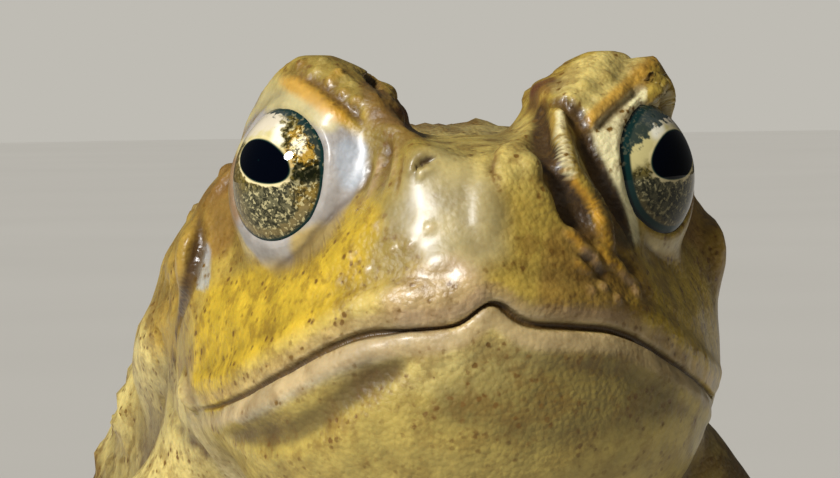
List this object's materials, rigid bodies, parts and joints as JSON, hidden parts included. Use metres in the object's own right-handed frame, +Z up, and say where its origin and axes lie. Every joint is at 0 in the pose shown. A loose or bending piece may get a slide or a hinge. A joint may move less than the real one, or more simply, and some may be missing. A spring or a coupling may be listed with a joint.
{
  "type": "cane toad, life-size still model",
  "caption": "Life-size cane toad sitting alert with its head raised, with bulging eyes, shoulder glands, a full throat and a warty back.",
  "frame": {"origin": "on the floor, under the middle of the toad's bounding box", "axes": "+Z up, +Y from the snout towards the vent, +X towards the toad's left side; the toad faces -Y"},
  "size_m": [0.1076, 0.1172, 0.0706],
  "materials": {
    "skin": "moist yellow-olive skin with brown spots and warts",
    "throat": "pale yellow skin mottled with olive",
    "gland": "pitted bright yellow-ochre skin",
    "eye": "wet and glossy, gold flecked iris with a dark level pupil",
    "eardrum": "thin smooth brown skin"
  },
  "bodies": {
    "root": {"head": "skin", "lower_jaw": "throat", "torso": "skin", "eye_left": "eye", "eye_right": "eye", "eardrum_left": "eardrum", "eardrum_right": "eardrum", "parotoid_left": "gland", "parotoid_right": "gland", "upper_arm_left": "skin", "upper_arm_right": "skin", "forearm_left": "skin", "forearm_right": "skin", "hand_left": "skin", "hand_right": "skin", "thigh_left": "skin", "thigh_right": "skin", "shank_left": "skin", "shank_right": "skin", "tarsus_left": "skin", "tarsus_right": "skin", "foot_left": "skin", "foot_right": "skin"}
  },
  "joints": []
}
